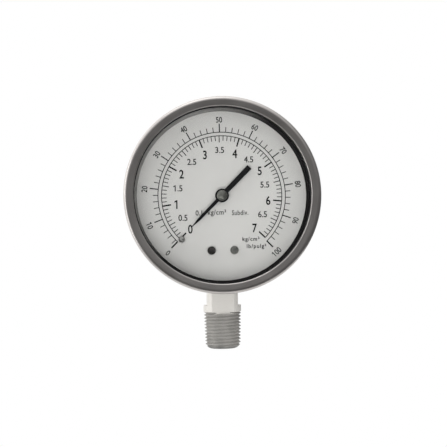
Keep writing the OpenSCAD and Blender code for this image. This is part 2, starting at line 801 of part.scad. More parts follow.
// Corners joined by straight edges and rounded by plate_corner_r
module plate_outline(corners) {
    count = len(corners);
    polygon(corners);
    for (i = [0:count - 1]) {
        bar(corners[i], corners[(i + 1) % count], 2 * plate_corner_r);
        translate(corners[i]) circle(r = plate_corner_r, $fn = small_fn);
    }
}

// Rear movement plate with a foot screwed to the socket block
module back_plate() {
    color(brass) sheet(back_plate_f, plates_in_f) difference() {
        union() {
            plate_outline(plate_corners);
            bar([0, pillar_at[2][1]], [0, -foot_end], foot_w);
            translate([0, -foot_end]) circle(d = foot_w, $fn = small_fn);
        }
        circle(r = pivot_r + pivot_gap, $fn = small_fn);
        translate([sector_x, sector_z]) circle(r = pivot_r + pivot_gap, $fn = small_fn);
        for (at = movement_screw_at) translate(at) circle(r = screw_hole_r, $fn = small_fn);
    }
}

module front_plate() {
    color(brass) sheet(front_plate_f, front_plate_out_f) difference() {
        plate_outline(plate_corners);
        circle(r = arbor_r + pivot_gap, $fn = small_fn);
        translate([sector_x, sector_z]) circle(r = pivot_r + pivot_gap, $fn = small_fn);
        for (at = pillar_at) translate(at) circle(r = screw_hole_r, $fn = small_fn);
    }
}

module pillars() {
    color(brass) for (at = pillar_at) difference() {
        disc(at, pillar_r, plates_in_f, front_plate_f);
        disc(at, screw_hole_r, front_plate_f - hole_l, front_plate_f + cut);
    }
}

// Slotted screw from the face at forward distance f
module small_screw(at, f, l, turn) {
    slot_w = 0.45;
    difference() {
        union() {
            disc(at, small_head_r, f, f + small_head_t);
            disc(at, screw_hole_r, f - l, f);
        }
        dial_side() translate([at[0], at[1], f + small_head_t]) rotate(turn)
            cube([3 * small_head_r, slot_w, small_head_t], center = true);
    }
}

module pillar_screws() {
    color(steel) for (i = [0:2])
        small_screw(pillar_at[i], front_plate_out_f, plate_t + small_screw_l, pillar_screw_turns[i]);
}

module movement_screws() {
    color(steel) for (i = [0:1])
        small_screw(movement_screw_at[i], plates_in_f, plate_t + small_screw_l, movement_screw_turns[i]);
}

// Pinion cut on its spindle; the front end carries the pointer
module pinion_arbor() {
    root_r = pinion_r - (1 + root_gap) * gear_m;
    tip_r = pinion_r + gear_m;
    pitch_deg = 360 / pinion_n;
    end_gap = 0.1;
    color(steel) {
        disc([0, 0], pivot_r, back_plate_f + end_gap, plates_in_f + end_gap);
        disc([0, 0], arbor_r, plates_in_f + end_gap, pointer_f + pointer_t);
        sheet(pinion_f, pinion_f + pinion_l) difference() {
            union() {
                circle(r = root_r, $fn = small_fn);
                for (k = [0:pinion_n - 1])
                    polygon(concat(
                        tooth_points(pinion_n, gear_m, sector_dir_deg + (k + 0.5) * pitch_deg, root_r - 0.05, tip_r),
                        [polar(root_r / 2, sector_dir_deg + (k + 0.5) * pitch_deg)]
                    ));
            }
            circle(r = arbor_r / 2, $fn = small_fn);
        }
    }
}

// Flat spiral from the collet out to the stud
module hairspring() {
    per_turn = 24;
    count = spring_turns * per_turn;
    in_r = collet_r + spring_t / 2;
    function coil_r(i) = in_r + (spring_out_r - in_r) * i / count;
    function coil_deg(i) = 180 + (i - count) * 360 / per_turn;
    color(bronze) sheet(spring_f, spring_f + spring_h) polygon(concat(
        [for (i = [0:count]) polar(coil_r(i) + spring_t / 2, coil_deg(i))],
        [for (i = [count:-1:0]) polar(coil_r(i) - spring_t / 2, coil_deg(i))]
    ));
}

module hairspring_collet() {
    color(brass) difference() {
        disc([0, 0], collet_r - 0.08, spring_f - 0.2, spring_f + spring_h + 0.2);
        disc([0, 0], arbor_r, spring_f - cut, spring_f + spring_h + cut);
    }
}

// Split stud on the front plate that grips the hairspring's outer end
module hairspring_stud() {
    stud_r = 0.8;
    at = [-spring_out_r - stud_r - spring_t / 2 + 0.1, 0];
    color(brass) difference() {
        disc(at, stud_r, spring_f - 0.2, front_plate_f);
        disc([0, 0], spring_out_r + spring_t / 2, spring_f - cut, spring_f + spring_h + cut);
    }
}

// Stamped pointer: sharp blade, round boss and broad counterweight tail, lying at the zero mark
module pointer() {
    waist_at = pointer_l - pointer_point_l;
    color(black_ink) sheet(pointer_f, pointer_f + pointer_t) rotate(zero_deg) difference() {
        union() {
            polygon([
                [0, -pointer_root_w / 2], [waist_at, -pointer_waist_w / 2], [pointer_l, -pointer_tip_w / 2],
                [pointer_l, pointer_tip_w / 2], [waist_at, pointer_waist_w / 2], [0, pointer_root_w / 2]
            ]);
            polygon([
                [0, -pointer_tail_root_w / 2], [0, pointer_tail_root_w / 2],
                [-pointer_tail_l, pointer_tail_w / 2], [-pointer_tail_l, -pointer_tail_w / 2]
            ]);
            circle(r = boss_r, $fn = small_fn);
        }
        circle(r = hub_shank_r, $fn = small_fn);
    }
}

// Hub pressed on the spindle: sleeve through the pointer and a domed cap in front
module pointer_hub() {
    top_f = pointer_f + pointer_t;
    dome_r = 5;
    dome_h = dome_r - sqrt(pow(dome_r, 2) - pow(cap_r, 2));
    rim = 0.5;
    color(dark_metal) difference() {
        union() {
            disc([0, 0], hub_shank_r, pointer_f - 0.6, top_f);
            dial_side() rotate_extrude($fn = small_fn) polygon(concat(
                [[0, top_f], [cap_r, top_f]],
                [for (i = [0:arc_steps]) let (r = cap_r * (1 - i / arc_steps))
                    [r, top_f + rim + sqrt(pow(dome_r, 2) - pow(r, 2)) - dome_r + dome_h]]
            ));
        }
        disc([0, 0], arbor_r, pointer_f - cut, top_f);
    }
}

// Rubber plug in the case back that lifts out under pressure
module blowout_plug() {
    back_f = -back_d;
    inner_f = back_f + case_t;
    grip = 0.7;
    color(black_rubber) {
        disc([0, plug_up], plug_flange_r, back_f - plug_flange_t, back_f, round_fn);
        disc([0, plug_up], plug_hole_r, back_f, inner_f, round_fn);
        disc([0, plug_up], plug_hole_r + grip, inner_f, inner_f + 1, round_fn);
    }
}

case();
bezel_ring();
window();
window_gasket();
spacer_ring();
dial();
inner_scale();
outer_scale();
dial_screws();
dial_posts();
stop_pin();
socket();
stem_seal();
bourdon_tube();
tube_tip();
tip_pin();
link();
link_screw();
sector_gear();
sector_arbor();
back_plate();
front_plate();
pillars();
pillar_screws();
movement_screws();
pinion_arbor();
hairspring();
hairspring_collet();
hairspring_stud();
pointer();
pointer_hub();
blowout_plug();
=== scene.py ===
import math

import bpy
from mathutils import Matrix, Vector


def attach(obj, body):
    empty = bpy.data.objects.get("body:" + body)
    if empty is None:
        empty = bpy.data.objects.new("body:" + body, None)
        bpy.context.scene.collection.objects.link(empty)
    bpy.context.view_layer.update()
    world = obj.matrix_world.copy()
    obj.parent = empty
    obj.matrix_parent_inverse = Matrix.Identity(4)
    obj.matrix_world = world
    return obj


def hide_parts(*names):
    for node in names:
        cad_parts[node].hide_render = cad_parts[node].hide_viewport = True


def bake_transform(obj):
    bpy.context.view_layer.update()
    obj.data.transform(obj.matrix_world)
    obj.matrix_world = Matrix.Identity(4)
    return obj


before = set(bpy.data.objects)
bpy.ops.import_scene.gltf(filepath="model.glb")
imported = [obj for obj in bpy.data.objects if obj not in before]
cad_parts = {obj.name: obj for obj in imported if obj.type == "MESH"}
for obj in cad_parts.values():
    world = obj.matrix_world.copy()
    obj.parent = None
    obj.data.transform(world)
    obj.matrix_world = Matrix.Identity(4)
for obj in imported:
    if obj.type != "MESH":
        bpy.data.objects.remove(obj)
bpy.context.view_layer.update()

bpy.ops.object.select_all(action="DESELECT")


# Socket: one piece of bar stock, turned and milled from stainless steel.
# A tapered pipe thread at the bottom, four spanner flats above it, and then a
# spigot and a block that carry the case and the movement.
mm = 0.001
dial_height = 85.5 * mm
thread_length = 20.7 * mm
thread_pitch = 1.814 * mm
thread_top_radius = 10.55 * mm
thread_groove = 1.15 * mm
thread_crest = 0.18 * mm
thread_taper = 1 / 32
thread_foot_radius = thread_top_radius - thread_length * thread_taper
stem_end_radius = 7.7 * mm
stem_chamfer = 2.3 * mm
bar_radius = 10.65 * mm
half_flats = 8.6 * mm
front_flats_from = 19.5 * mm
side_flats_from = 24.5 * mm
flats_end = 34.5 * mm
block_half_width = 11 * mm
block_front = 7 * mm
block_back = 8.5 * mm
block_low = 38.05 * mm
block_high = 59 * mm
passage_radius = 3 * mm
neck_edge = 0.25 * mm
merge_within = 0.002 * mm


def deselect():
    bpy.ops.object.select_all(action="DESELECT")


def edit(piece, part=None):
    """Opens a piece in edit mode with all of it selected, or the vertices that part names by place."""
    deselect()
    bpy.context.view_layer.objects.active = piece
    piece.select_set(True)
    for vertex in piece.data.vertices:
        vertex.select = part is None or part(vertex.co)
    for edge in piece.data.edges:
        edge.select = all(piece.data.vertices[i].select for i in edge.vertices)
    for face in piece.data.polygons:
        face.select = all(piece.data.vertices[i].select for i in face.vertices)
    bpy.ops.object.mode_set(mode="EDIT")
    bpy.ops.mesh.select_mode(type="VERT")


def close_edit():
    bpy.ops.object.mode_set(mode="OBJECT")


def settle(piece, name):
    """Applies a piece's place to its mesh and names it."""
    deselect()
    bpy.context.view_layer.objects.active = piece
    piece.select_set(True)
    bpy.ops.object.transform_apply(location=True, rotation=True, scale=True)
    piece.name = name
    piece.data.name = name
    return piece


def draw_line(name, corners):
    """Draws a line by extruding one vertex from corner to corner."""
    bpy.ops.mesh.primitive_plane_add(size=mm, location=(0, 0, 0))
    line = bpy.context.object
    edit(line)
    bpy.ops.mesh.merge(type="CENTER")
    bpy.ops.transform.translate(value=corners[0])
    for start, end in zip(corners, corners[1:]):
        step = tuple(b - a for a, b in zip(start, end))
        bpy.ops.mesh.extrude_region_move(TRANSFORM_OT_translate={"value": step})
    close_edit()
    return settle(line, name)


def round_corner(piece, corner, radius, segments=6):
    edit(piece, lambda co: (co - Vector(corner)).length < 0.01 * mm)
    bpy.ops.mesh.bevel(affect="VERTICES", offset=radius, segments=segments)
    close_edit()


def spin_line(piece, axis, centre, steps=192):
    """Turns a drawn line once round an axis into a closed skin that points outward."""
    edit(piece)
    bpy.ops.mesh.spin(steps=steps, angle=2 * math.pi, axis=axis, center=centre, use_auto_merge=True)
    bpy.ops.mesh.select_all(action="SELECT")
    bpy.ops.mesh.remove_doubles(threshold=merge_within)
    bpy.ops.mesh.normals_make_consistent(inside=False)
    close_edit()


def turn_on_stem(name, corners, rounded=(), steps=128):
    """A turned part about the stem: corners are (radius, height), rounded is (corner number, radius)."""
    points = [(radius, 0, height) for radius, height in corners]
    piece = draw_line(name, points)
    for number, radius in rounded:
        round_corner(piece, points[number], radius)
    spin_line(piece, (0, 0, 1), (0, 0, 0), steps)
    return piece


def finish_modifier(piece, kind, **settings):
    """Adds one modifier with its settings and applies it."""
    deselect()
    bpy.context.view_layer.objects.active = piece
    piece.select_set(True)
    modifier = piece.modifiers.new(kind.title(), kind)
    for key, value in settings.items():
        setattr(modifier, key, value)
    bpy.ops.object.modifier_apply(modifier=modifier.name)


def carve(piece, tool, operation="DIFFERENCE"):
    """Cuts, joins or trims a piece with a tool piece, which is then thrown away."""
    finish_modifier(piece, "BOOLEAN", object=tool, operation=operation, solver="EXACT")
    bpy.data.objects.remove(tool)


def box_tool(low, high):
    centre = [(a + b) / 2 for a, b in zip(low, high)]
    bpy.ops.mesh.primitive_cube_add(size=1, location=centre)
    tool = bpy.context.object
    tool.scale = [b - a for a, b in zip(low, high)]
    return settle(tool, "tool")


def rod_tool(radius, start, end, sides=64):
    """A cylinder between two points."""
    start, end = Vector(start), Vector(end)
    along = end - start
    bpy.ops.mesh.primitive_cylinder_add(vertices=sides, radius=radius, depth=along.length)
    tool = bpy.context.object
    tool.rotation_euler = along.to_track_quat("Z", "Y").to_euler()
    tool.location = (start + end) / 2
    return settle(tool, "tool")


def soften(piece, width, angle=30, segments=2):
    """Breaks the sharp edges by a small bevel and smooths the shading."""
    finish_modifier(piece, "BEVEL", width=width, segments=segments, limit_method="ANGLE",
                    angle_limit=math.radians(angle), use_clamp_overlap=True)
    smooth(piece)


def smooth(piece, angle=35):
    deselect()
    bpy.context.view_layer.objects.active = piece
    piece.select_set(True)
    bpy.ops.object.shade_smooth_by_angle(angle=math.radians(angle))


def link_nodes(finish, source, target):
    finish.node_tree.links.new(source, target)


def add_node(finish, kind, **settings):
    made = finish.node_tree.nodes.new(kind)
    for key, value in settings.items():
        setattr(made, key, value)
    return made


def math_node(finish, operation, first, second=None):
    made = add_node(finish, "ShaderNodeMath", operation=operation)
    for socket, value in zip(made.inputs, (first, second)):
        if isinstance(value, (int, float)):
            socket.default_value = value
        elif value is not None:
            link_nodes(finish, value, socket)
    return made.outputs[0]


def new_finish(name, metallic=0.0, roughness=0.5, specular=0.5):
    """A Principled material; its place on the piece is read from Object coordinates."""
    finish = bpy.data.materials.new(name)
    finish.use_nodes = True
    shader = finish.node_tree.nodes["Principled BSDF"]
    shader.inputs["Metallic"].default_value = metallic
    shader.inputs["Roughness"].default_value = roughness
    shader.inputs["Specular IOR Level"].default_value = specular
    return finish


def place_of(finish):
    return add_node(finish, "ShaderNodeTexCoord").outputs["Object"]


def stretched(finish, place, scale, shift=(0, 0, 0)):
    mapping = add_node(finish, "ShaderNodeMapping")
    mapping.inputs["Scale"].default_value = scale
    mapping.inputs["Location"].default_value = shift
    link_nodes(finish, place, mapping.inputs["Vector"])
    return mapping.outputs[0]


def round_the(finish, place, axis, height, across, along):
    """Coordinates that follow a lathe's tool marks: fine across the axis, slow round it."""
    parts = add_node(finish, "ShaderNodeSeparateXYZ")
    link_nodes(finish, place, parts.inputs[0])
    x, y, z = parts.outputs
    side = math_node(finish, "SUBTRACT", z, height) if axis == "Y" else y
    deep = y if axis == "Y" else z
    squares = math_node(finish, "ADD", math_node(finish, "POWER", x, 2), math_node(finish, "POWER", side, 2))
    radius = math_node(finish, "SQRT", squares)
    above_zero = math_node(finish, "MAXIMUM", radius, 0.1 * mm)
    fine = math_node(finish, "ADD", math_node(finish, "MULTIPLY", radius, across),
                     math_node(finish, "MULTIPLY", deep, across))
    round_x = math_node(finish, "MULTIPLY", math_node(finish, "DIVIDE", x, above_zero), along)
    round_side = math_node(finish, "MULTIPLY", math_node(finish, "DIVIDE", side, above_zero), along)
    joined = add_node(finish, "ShaderNodeCombineXYZ")
    for source, socket in zip((fine, round_x, round_side), joined.inputs):
        link_nodes(finish, source, socket)
    return joined.outputs[0]


def noise(finish, vector, scale=1.0, detail=3.0, rough=0.5):
    made = add_node(finish, "ShaderNodeTexNoise")
    made.inputs["Scale"].default_value = scale
    made.inputs["Detail"].default_value = detail
    made.inputs["Roughness"].default_value = rough
    link_nodes(finish, vector, made.inputs["Vector"])
    return made.outputs["Fac"]


def blend_patterns(finish, first, share, second):
    """Adds two patterns up: this share of the first and the rest of the second."""
    return math_node(finish, "ADD", math_node(finish, "MULTIPLY", first, share),
                     math_node(finish, "MULTIPLY", second, 1 - share))


def color_by(finish, factor, stops):
    """A colour ramp: stops are (place, colour)."""
    ramp = add_node(finish, "ShaderNodeValToRGB")
    while len(ramp.color_ramp.elements) < len(stops):
        ramp.color_ramp.elements.new(0.5)
    for element, (place, color) in zip(ramp.color_ramp.elements, stops):
        element.position = place
        element.color = (*color, 1)
    link_nodes(finish, factor, ramp.inputs[0])
    return ramp.outputs[0]


def range_by(finish, factor, low, high):
    """Takes a noise pattern, which mostly lies between 0.3 and 0.7, to the range from low to high."""
    made = add_node(finish, "ShaderNodeMapRange")
    made.inputs["From Min"].default_value = 0.3
    made.inputs["From Max"].default_value = 0.7
    made.inputs["To Min"].default_value = low
    made.inputs["To Max"].default_value = high
    link_nodes(finish, factor, made.inputs["Value"])
    return made.outputs[0]


def set_input(finish, name, source):
    link_nodes(finish, source, finish.node_tree.nodes["Principled BSDF"].inputs[name])


def set_relief(finish, height, depth, strength=1.0):
    bump = add_node(finish, "ShaderNodeBump")
    bump.inputs["Strength"].default_value = strength
    bump.inputs["Distance"].default_value = depth
    link_nodes(finish, height, bump.inputs["Height"])
    set_input(finish, "Normal", bump.outputs[0])


def give(piece, finish):
    piece.data.materials.clear()
    piece.data.materials.append(finish)


stem_finish = new_finish("turned_stainless", metallic=0.1, roughness=0.45, specular=0.15)
stem_place = place_of(stem_finish)
stem_marks = noise(stem_finish, round_the(stem_finish, stem_place, "Z", 0, 9000, 1.5), detail=4)
stem_clouds = noise(stem_finish, stretched(stem_finish, stem_place, (120, 120, 60)), detail=2)
stem_tone = blend_patterns(stem_finish, stem_marks, 0.5, stem_clouds)
stem_parts = add_node(stem_finish, "ShaderNodeSeparateXYZ")
link_nodes(stem_finish, stem_place, stem_parts.inputs[0])
# painted shade: the chamfered end is coloured darker, standing in for the dark surroundings it mirrors
end_painted_shade = add_node(stem_finish, "ShaderNodeMapRange")
end_painted_shade.inputs["From Min"].default_value = stem_chamfer + 0.3 * mm
end_painted_shade.inputs["From Max"].default_value = 1 * mm
end_painted_shade.inputs["To Max"].default_value = 0.3
link_nodes(stem_finish, stem_parts.outputs[2], end_painted_shade.inputs["Value"])
stem_shade = math_node(stem_finish, "SUBTRACT", stem_tone, end_painted_shade.outputs[0])
set_input(stem_finish, "Base Color", color_by(
    stem_finish, stem_shade,
    [(0.05, (0.07, 0.07, 0.07)), (0.4, (0.42, 0.41, 0.39)), (0.7, (0.61, 0.595, 0.565))]))
set_input(stem_finish, "Roughness", range_by(stem_finish, stem_tone, 0.4, 0.55))
set_relief(stem_finish, stem_marks, 0.01 * mm, 0.4)

# the threaded end: a screw of one groove, cut flat, tapered, and trimmed by the chamfered blank
groove_bottom = thread_foot_radius - thread_groove
thread_start = -2 * thread_pitch
thread_turns = 16
stem_thread = draw_line("stem_thread", [
    (thread_foot_radius, 0, thread_start),
    (groove_bottom, 0, thread_start + thread_pitch / 2 - thread_crest / 2),
    (groove_bottom, 0, thread_start + thread_pitch / 2 + thread_crest / 2),
    (thread_foot_radius, 0, thread_start + thread_pitch - thread_crest),
    (thread_foot_radius, 0, thread_start + thread_pitch)])
finish_modifier(stem_thread, "SCREW", steps=96, render_steps=96, iterations=thread_turns,
                screw_offset=thread_pitch, use_merge_vertices=True, merge_threshold=0.01 * mm,
                angle=2 * math.pi, axis="Z")
for cut_height, keep_above in ((-0.8 * mm, True), (thread_length + 0.4 * mm, False)):
    edit(stem_thread)
    bpy.ops.mesh.bisect(plane_co=(0, 0, cut_height), plane_no=(0, 0, 1), use_fill=True,
                        clear_inner=keep_above, clear_outer=not keep_above)
    close_edit()
edit(stem_thread)
bpy.ops.mesh.remove_doubles(threshold=merge_within)
bpy.ops.mesh.fill_holes(sides=0)
bpy.ops.mesh.normals_make_consistent(inside=False)
close_edit()
for vertex in stem_thread.data.vertices:
    wider = 1 + vertex.co.z * thread_taper / thread_foot_radius
    vertex.co.x *= wider
    vertex.co.y *= wider
blank = turn_on_stem("blank", [
    (0, 0), (stem_end_radius, 0), (thread_foot_radius + stem_chamfer * thread_taper, stem_chamfer),
    (thread_top_radius, thread_length), (0, thread_length)], [(1, 1.4 * mm), (2, mm)])
far = 2 * bar_radius
for side in (-1, 1):
    inner, outer = sorted((side * half_flats, side * far))
    carve(blank, box_tool((-far, inner, front_flats_from), (far, outer, flats_end)))
carve(stem_thread, blank, "INTERSECT")
carve(stem_thread, rod_tool(passage_radius, (0, 0, -mm), (0, 0, thread_length - mm)))

# the neck with its four flats, of which two run down into the thread, the spigot and the block
stem_neck = turn_on_stem("stem_neck", [
    (0, thread_length), (thread_top_radius - 0.2 * mm, thread_length),
    (bar_radius, thread_length + 0.35 * mm),
    (bar_radius, flats_end), (half_flats, flats_end), (half_flats, block_low + mm), (0, block_low + mm)])
for side in (-1, 1):
    inner, outer = sorted((side * half_flats, side * far))
    carve(stem_neck, box_tool((-far, inner, front_flats_from), (far, outer, flats_end + mm)))
    carve(stem_neck, box_tool((inner, -far, side_flats_from), (outer, far, flats_end + mm)))
block = box_tool((-block_half_width, -block_front, block_low), (block_half_width, block_back, block_high))
carve(stem_neck, block, "UNION")
soften(stem_neck, neck_edge, segments=3)
smooth(stem_thread, 25)
milled_finish = new_finish("milled_stainless", metallic=0.12, roughness=0.5)
milled_place = place_of(milled_finish)
milled_marks = noise(milled_finish, stretched(milled_finish, milled_place, (400, 400, 5000)), detail=4)
milled_clouds = noise(milled_finish, stretched(milled_finish, milled_place, (90, 90, 50)), detail=2)
milled_tone = blend_patterns(milled_finish, milled_marks, 0.4, milled_clouds)
set_input(milled_finish, "Base Color", color_by(
    milled_finish, milled_tone, [(0.3, (0.9, 0.875, 0.825)), (0.7, (0.96, 0.935, 0.885))]))
set_input(milled_finish, "Roughness", range_by(milled_finish, milled_tone, 0.45, 0.6))
set_relief(milled_finish, milled_marks, 0.015 * mm, 0.4)
give(stem_neck, milled_finish)
give(stem_thread, stem_finish)
# the two flats that run down into the thread are milled like the neck
stem_thread.data.materials.append(milled_finish)
for face in stem_thread.data.polygons:
    if abs(face.normal.y) > 0.999 and face.center.z > front_flats_from:
        face.material_index = 1
for piece in (stem_thread, stem_neck):
    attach(piece, "root")
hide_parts("socket")


# Case: cup drawn from stainless sheet, with a rounded back edge and a flange
# at its mouth that the bezel ring is crimped over. The stem's spigot comes in
# through a hole below, the blow-out plug sits in a hole in the back.
case_radius = 50 * mm
case_sheet = 1 * mm
case_back = 15.5 * mm
case_edge = 6 * mm
flange_radius = 52.6 * mm
flange_front = 21.6 * mm
flange_back = 20.6 * mm
stem_hole_radius = 11.6 * mm
plug_up = 24 * mm
plug_hole_radius = 7 * mm
plug_depth = 2 * mm


def on_dial(x, up, forward):
    """A place given as the dial's right, up and distance forward from the stem's axis."""
    return (x, -forward, dial_height + up)


def turn_on_dial(name, corners, rounded=(), steps=192):
    """A turned part about the dial's axis: corners are (radius, forward)."""
    points = [on_dial(radius, 0, forward) for radius, forward in corners]
    piece = draw_line(name, points)
    for number, radius in rounded:
        round_corner(piece, points[number], radius)
    spin_line(piece, (0, 1, 0), (0, 0, dial_height), steps)
    return piece


case = turn_on_dial("case_shell", [
    (0, -case_back), (case_radius, -case_back), (case_radius, flange_back), (flange_radius, flange_back),
    (flange_radius, flange_front), (case_radius - case_sheet, flange_front),
    (case_radius - case_sheet, -case_back + case_sheet), (0, -case_back + case_sheet)],
    [(1, case_edge), (2, 0.3 * mm), (6, case_edge - case_sheet)])
carve(case, rod_tool(stem_hole_radius, (0, 0, dial_height - case_radius - mm),
                     (0, 0, dial_height - case_radius + case_edge), 128))
carve(case, rod_tool(plug_hole_radius, on_dial(0, plug_up, -case_back - mm),
                     on_dial(0, plug_up, -case_back + plug_depth), 96))
smooth(case)
case_finish = new_finish("drawn_stainless", metallic=1.0, roughness=0.32)
case_place = place_of(case_finish)
case_marks = noise(case_finish, round_the(case_finish, case_place, "Y", dial_height, 5000, 2), detail=4)
case_clouds = noise(case_finish, stretched(case_finish, case_place, (40, 40, 40)), detail=2)
case_tone = blend_patterns(case_finish, case_marks, 0.5, case_clouds)
set_input(case_finish, "Base Color", color_by(
    case_finish, case_tone, [(0.3, (0.5, 0.49, 0.47)), (0.7, (0.63, 0.62, 0.6))]))
set_input(case_finish, "Roughness", range_by(case_finish, case_tone, 0.28, 0.4))
set_relief(case_finish, case_marks, 0.01 * mm, 0.3)
give(case, case_finish)
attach(case, "root")
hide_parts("case")


# Rubber seals: a ring round the spigot in the case's lower hole, and a plug
# with a broad flange in the back that lifts out if the tube should burst.
# Both are moulded from matt black rubber with a trace of mould bloom.
rubber = new_finish("black_rubber", roughness=0.7, specular=0.3)
rubber_place = place_of(rubber)
rubber_bloom = noise(rubber, stretched(rubber, rubber_place, (250, 250, 250)), detail=5)
set_input(rubber, "Base Color", color_by(
    rubber, rubber_bloom, [(0.35, (0.012, 0.012, 0.013)), (0.75, (0.032, 0.032, 0.034))]))
set_input(rubber, "Roughness", range_by(rubber, rubber_bloom, 0.6, 0.8))
set_relief(rubber, rubber_bloom, 0.02 * mm, 0.4)
seal_low = dial_height - case_radius - 0.6 * mm
stem_seal = turn_on_stem("stem_seal_ring", [
    (half_flats, seal_low), (stem_hole_radius, seal_low), (stem_hole_radius, block_low),
    (half_flats, block_low), (half_flats, seal_low)], [(1, 0.3 * mm)])
smooth(stem_seal)
give(stem_seal, rubber)
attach(stem_seal, "root")
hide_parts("stem_seal")

plug_flange_radius = 9 * mm
plug_flange = 1.5 * mm
plug_grip_radius = 7.7 * mm
dish_radius = 4 * mm
dish_rim_radius = 4.6 * mm
dish_depth = 0.5 * mm
plug_outside = -case_back - plug_flange
case_inside = -case_back + case_sheet
plug_inside = -case_back + plug_depth
plug = turn_on_dial("back_plug", [
    (0, plug_outside + dish_depth), (dish_radius, plug_outside + dish_depth), (dish_rim_radius, plug_outside),
    (plug_flange_radius, plug_outside), (plug_flange_radius, -case_back), (plug_hole_radius, -case_back),
    (plug_hole_radius, case_inside), (plug_grip_radius, case_inside), (plug_grip_radius, plug_inside),
    (0, plug_inside)], [(3, 0.6 * mm), (4, 0.2 * mm), (8, 0.3 * mm)], 96)
edit(plug)
bpy.ops.transform.translate(value=(0, 0, plug_up))
close_edit()
smooth(plug)
give(plug, rubber)
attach(plug, "root")
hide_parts("blowout_plug")


# Bourdon tube: bronze tube rolled flat and bent to a C, soldered into the
# block at one end. As pressure rises it uncurls.


def copy_node(node, name):
    """A copy of a CAD node on no body, with its loose triangles merged into one skin."""
    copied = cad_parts[node].copy()
    copied.data = copied.data.copy()
    copied.parent = None
    for key in list(copied.keys()):
        del copied[key]
    bpy.context.scene.collection.objects.link(copied)
    copied.name = name
    edit(copied)
    bpy.ops.mesh.remove_doubles(threshold=0.001 * mm)
    bpy.ops.mesh.normals_make_consistent(inside=False)
    close_edit()
    return copied


tube = copy_node("bourdon_tube", "spring_tube")
smooth(tube, 40)
bronze = new_finish("drawn_bronze", metallic=1.0, roughness=0.34)
bronze_place = place_of(bronze)
bronze_marks = noise(bronze, round_the(bronze, bronze_place, "Y", dial_height, 6000, 3), detail=3)
bronze_stain = noise(bronze, stretched(bronze, bronze_place, (90, 90, 90)), detail=4)
bronze_tone = blend_patterns(bronze, bronze_marks, 0.35, bronze_stain)
set_input(bronze, "Base Color", color_by(
    bronze, bronze_tone, [(0.3, (0.36, 0.2, 0.1)), (0.55, (0.6, 0.38, 0.2)), (0.75, (0.7, 0.48, 0.28))]))
set_input(bronze, "Roughness", range_by(bronze, bronze_tone, 0.28, 0.45))
set_relief(bronze, bronze_marks, 0.01 * mm, 0.3)
give(tube, bronze)
give(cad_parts["hairspring"], bronze)
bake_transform(tube)
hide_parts("bourdon_tube")


# Movement: stamped brass plates on turned brass pillars, a toothed sector and
# its tail, the link to the tube's end, and steel spindles, pins and screws.
# All of it sits behind the dial and is plainly finished.
brass = new_finish("stamped_brass", metallic=1.0, roughness=0.3)
brass_place = place_of(brass)
brass_grain = noise(brass, stretched(brass, brass_place, (900, 900, 160)), detail=4)
brass_stain = noise(brass, stretched(brass, brass_place, (140, 140, 140)), detail=3)
brass_tone = blend_patterns(brass, brass_grain, 0.4, brass_stain)
set_input(brass, "Base Color", color_by(
    brass, brass_tone, [(0.3, (0.52, 0.37, 0.13)), (0.7, (0.78, 0.6, 0.28))]))
set_input(brass, "Roughness", range_by(brass, brass_tone, 0.24, 0.4))
set_relief(brass, brass_grain, 0.01 * mm, 0.3)
for node in ("tube_tip", "link", "sector_gear", "back_plate", "front_plate", "pillars", "dial_posts",
             "hairspring_collet", "hairspring_stud"):
    give(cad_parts[node], brass)

small_steel = new_finish("small_turned_steel", metallic=1.0, roughness=0.32)
small_place = place_of(small_steel)
small_grain = noise(small_steel, stretched(small_steel, small_place, (1500, 1500, 1500)), detail=3)
set_input(small_steel, "Base Color", color_by(
    small_steel, small_grain, [(0.3, (0.34, 0.34, 0.33)), (0.7, (0.46, 0.455, 0.44))]))
set_input(small_steel, "Roughness", range_by(small_steel, small_grain, 0.26, 0.42))
set_relief(small_steel, small_grain, 0.01 * mm, 0.3)
for node in ("tip_pin", "link_screw", "sector_arbor", "pillar_screws", "movement_screws", "pinion_arbor"):
    give(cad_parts[node], small_steel)


# Dial: aluminium plate sprayed matt white, with the two scales printed on it
# in black: kg/cm2 inside, pounds per square inch outside. The print stands
# 0.06 mm proud. Only the scales' own numbers and units are lettered.
dial_front = 18.5 * mm
ink = 0.06 * mm
ink_spread = 0.05 * mm
paint = new_finish("dial_paint", roughness=0.55, specular=0.3)
paint_place = place_of(paint)
paint_grain = noise(paint, stretched(paint, paint_place, (1800, 1800, 1800)), detail=2)
paint_haze = noise(paint, stretched(paint, paint_place, (25, 25, 25), (0.3, 0, 0.1)), detail=2)
set_input(paint, "Base Color", color_by(
    paint, paint_haze, [(0.3, (0.68, 0.66, 0.644)), (0.7, (0.72, 0.7, 0.684))]))
set_input(paint, "Roughness", range_by(paint, paint_grain, 0.5, 0.62))
set_relief(paint, paint_grain, 0.008 * mm, 0.25)
give(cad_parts["dial"], paint)

print_ink = new_finish("printed_black", roughness=0.5, specular=0.02)
ink_place = place_of(print_ink)
ink_grain = noise(print_ink, stretched(print_ink, ink_place, (2500, 2500, 2500)), detail=2)
set_input(print_ink, "Base Color", color_by(
    print_ink, ink_grain, [(0.3, (0.0015, 0.0015, 0.002)), (0.75, (0.005, 0.005, 0.006))]))
set_input(print_ink, "Roughness", range_by(print_ink, ink_grain, 0.42, 0.6))


def widen_print(printed, by):
    """Widens the strokes of print on the dial by this much on each side, at the same thickness."""
    edit(printed)
    bpy.ops.mesh.remove_doubles(threshold=0.001 * mm)
    bpy.ops.mesh.normals_make_consistent(inside=False)
    bpy.ops.transform.shrink_fatten(value=by, use_even_offset=True)
    bpy.ops.transform.resize(value=(1, ink / (ink + 2 * by), 1),
                             center_override=(0, -dial_front - ink / 2, dial_height))
    close_edit()


for node in ("inner_scale", "outer_scale"):
    marks = copy_node(node, node + "_ink")
    widen_print(marks, ink_spread)
    give(marks, print_ink)
    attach(marks, "root")
    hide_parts(node)

